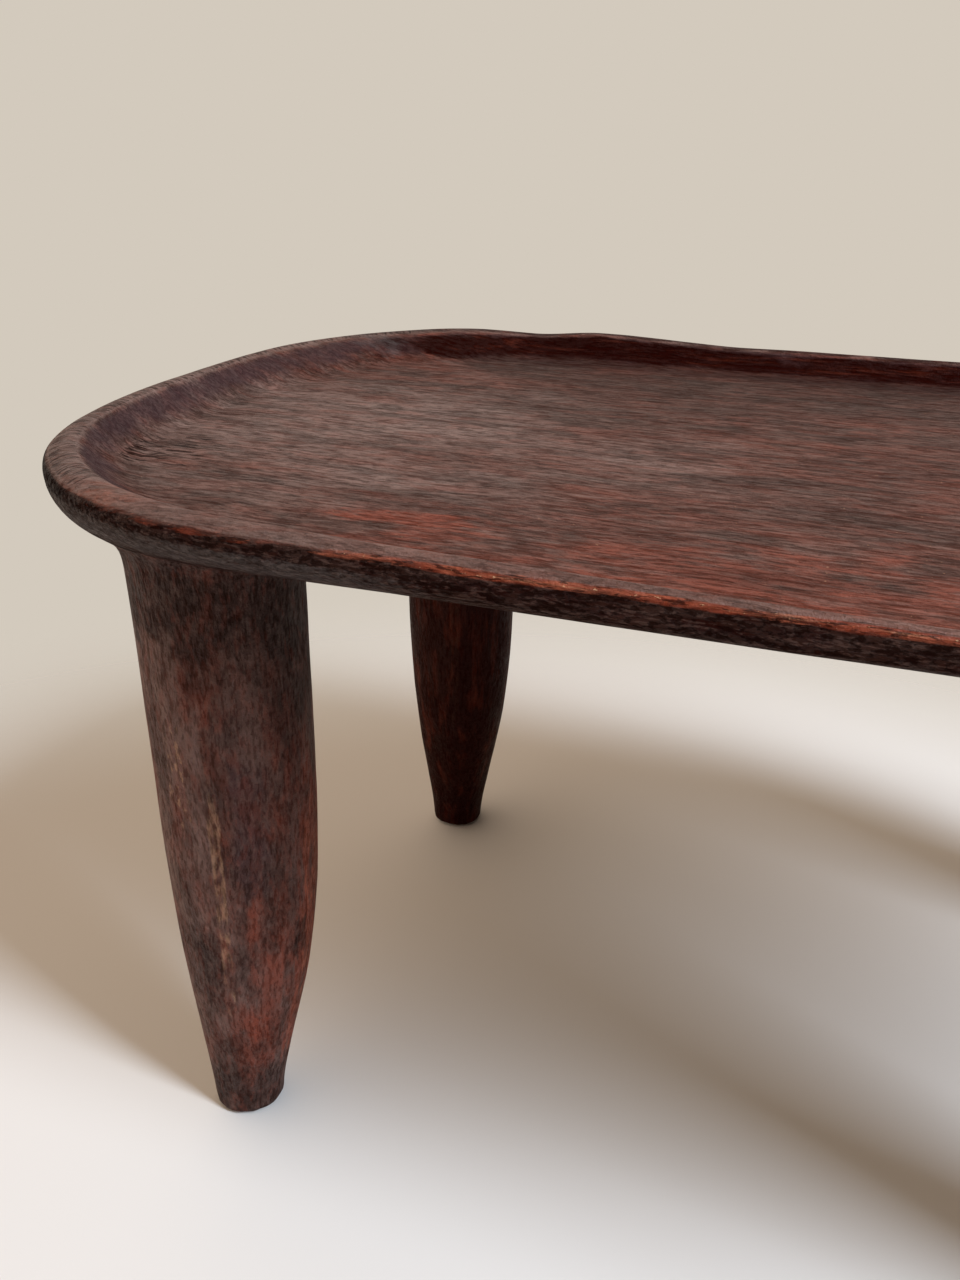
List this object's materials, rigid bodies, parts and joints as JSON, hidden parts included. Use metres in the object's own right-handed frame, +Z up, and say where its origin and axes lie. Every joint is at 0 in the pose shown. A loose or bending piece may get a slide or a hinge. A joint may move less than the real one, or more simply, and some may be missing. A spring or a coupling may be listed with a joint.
{
  "type": "low carved table",
  "caption": "Low carved hardwood table: a long tray top with rounded ends and a raised rim, on stout legs that taper to small flat feet.",
  "frame": {"origin": "on the ground, under the middle of the tray", "axes": "+X along the tray, to the right in the picture; +Y to the rear, away from the viewer; +Z up"},
  "size_m": [0.93, 0.507, 0.42],
  "materials": {
    "tray_wood": "hand-carved dark hardwood, satin from handling, worn to bare wood on the rim",
    "leg_wood": "hand-carved dark hardwood, scraped along the leg, dull satin"
  },
  "bodies": {
    "root": {"tray_top": "tray_wood", "leg_front_left": "leg_wood", "leg_front_right": "leg_wood", "leg_rear_left": "leg_wood", "leg_rear_right": "leg_wood"}
  },
  "joints": []
}
